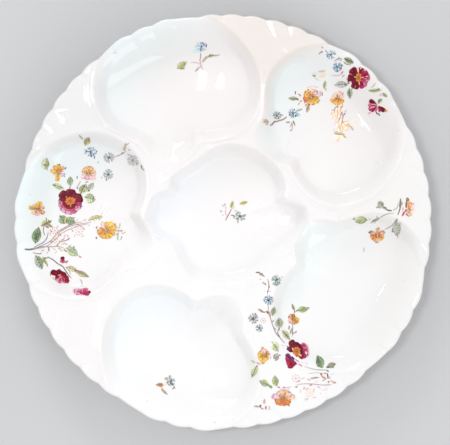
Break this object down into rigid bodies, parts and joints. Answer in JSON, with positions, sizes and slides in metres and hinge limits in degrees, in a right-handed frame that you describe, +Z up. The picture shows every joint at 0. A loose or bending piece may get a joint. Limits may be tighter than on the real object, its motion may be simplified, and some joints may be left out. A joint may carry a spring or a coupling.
{
  "type": "oyster plate",
  "caption": "Round pressed porcelain oyster plate with shell-shaped wells round a lobed sauce well, a scalloped edge and painted flower sprays.",
  "frame": {"origin": "middle of the foot ring's resting face, on the table", "axes": "+Z up, out of the wells; seen from above as in the picture, +X to the right and +Y to the top of the picture"},
  "size_m": [0.2263, 0.226, 0.0226],
  "materials": {
    "glazed_porcelain": "clear gloss glaze over white porcelain",
    "bare_porcelain": "unglazed, ground smooth",
    "crimson_enamel": "gloss overglaze enamel",
    "orange_enamel": "gloss overglaze enamel",
    "blue_enamel": "gloss overglaze enamel",
    "green_enamel": "gloss overglaze enamel",
    "olive_enamel": "gloss overglaze enamel",
    "tan_enamel": "gloss overglaze enamel",
    "stem_enamel": "gloss overglaze enamel",
    "pink_enamel": "gloss overglaze enamel"
  },
  "bodies": {
    "root": {"plate_body": "glazed_porcelain", "foot_ring": "bare_porcelain", "left_spray_roses": "crimson_enamel", "left_spray_orange_blossoms": "orange_enamel", "left_spray_blue_florets": "blue_enamel", "left_spray_leaves": "green_enamel", "left_spray_olive_leaves": "olive_enamel", "left_spray_stems": "stem_enamel", "left_spray_berries": "pink_enamel", "upper_spray_roses": "crimson_enamel", "upper_spray_orange_blossoms": "orange_enamel", "upper_spray_blue_florets": "blue_enamel", "upper_spray_leaves": "green_enamel", "upper_spray_tips": "tan_enamel", "upper_spray_stems": "stem_enamel", "right_spray_orange_blossoms": "orange_enamel", "right_spray_leaves": "green_enamel", "right_spray_stems": "stem_enamel", "lower_spray_roses": "crimson_enamel", "lower_spray_orange_blossoms": "orange_enamel", "lower_spray_blue_florets": "blue_enamel", "lower_spray_leaves": "green_enamel", "lower_spray_tan_leaves": "tan_enamel", "lower_spray_stems": "stem_enamel", "lower_spray_berries": "pink_enamel", "top_sprig_floret": "blue_enamel", "top_sprig_leaves": "green_enamel", "top_sprig_stems": "stem_enamel", "middle_sprig_florets": "blue_enamel", "middle_sprig_leaves": "green_enamel", "middle_sprig_stems": "stem_enamel", "low_sprig_floret": "blue_enamel", "low_sprig_leaves": "tan_enamel"}
  },
  "joints": []
}
